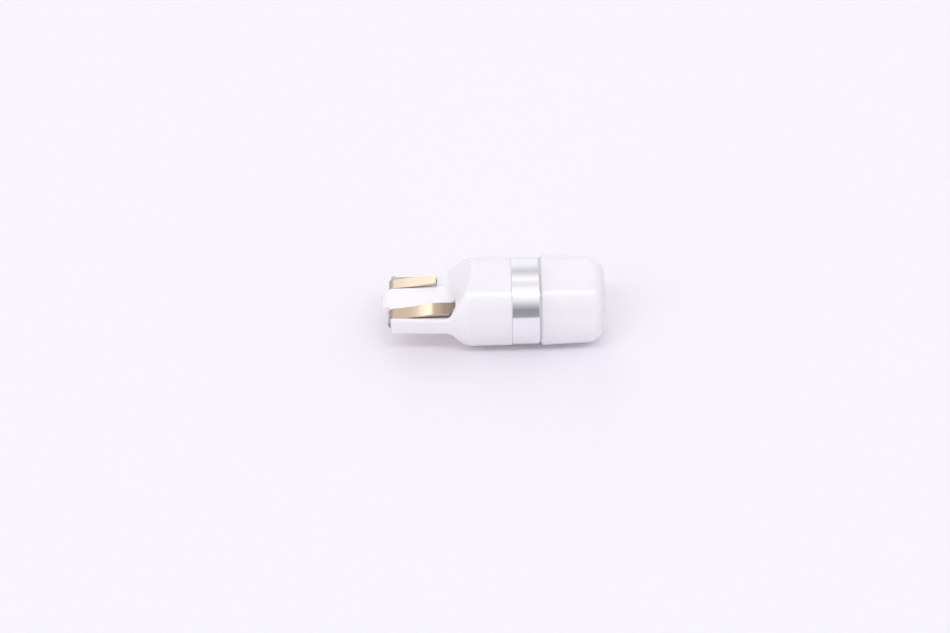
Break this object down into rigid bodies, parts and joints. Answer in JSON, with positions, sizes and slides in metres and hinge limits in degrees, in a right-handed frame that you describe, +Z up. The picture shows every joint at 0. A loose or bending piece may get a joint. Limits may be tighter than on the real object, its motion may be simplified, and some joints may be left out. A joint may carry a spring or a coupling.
{
  "type": "wedge base led bulb",
  "caption": "Small wedge base LED bulb: white moulded blade and body with sprung contact strips, polished aluminium ring and milky lens cap.",
  "frame": {"origin": "middle of the whole bulb's box, on the surface that it lies on", "axes": "+X along the bulb towards the lens, +Z up, square to the flat faces of the blade"},
  "size_m": [0.0254, 0.0102, 0.0102],
  "materials": {
    "housing": "glossy white moulding",
    "contact_metal": "bright pale gold plated strip",
    "ring": "polished, turned",
    "lens": "milky, satin gloss",
    "led_board": "white solder mask",
    "led_chip": "white package with yellow phosphor",
    "driver_board": "green solder mask",
    "component_black": "moulded black package",
    "capacitor": "tan ceramic",
    "solder": "bright solder"
  },
  "bodies": {
    "root": {"housing": "housing", "contact_spring_near": "contact_metal", "contact_spring_far": "contact_metal", "heat_sink_ring": "ring", "lens": "lens", "led_board": "led_board", "led_chip_1": "led_chip", "led_chip_2": "led_chip", "led_chip_3": "led_chip", "led_chip_4": "led_chip", "driver_board": "driver_board", "bridge_rectifier": "component_black", "driver_ic": "component_black", "sense_resistor": "component_black", "input_resistor": "component_black", "filter_capacitor": "capacitor", "board_pin_plus": "contact_metal", "board_pin_minus": "contact_metal", "solder_joints": "solder"}
  },
  "joints": []
}
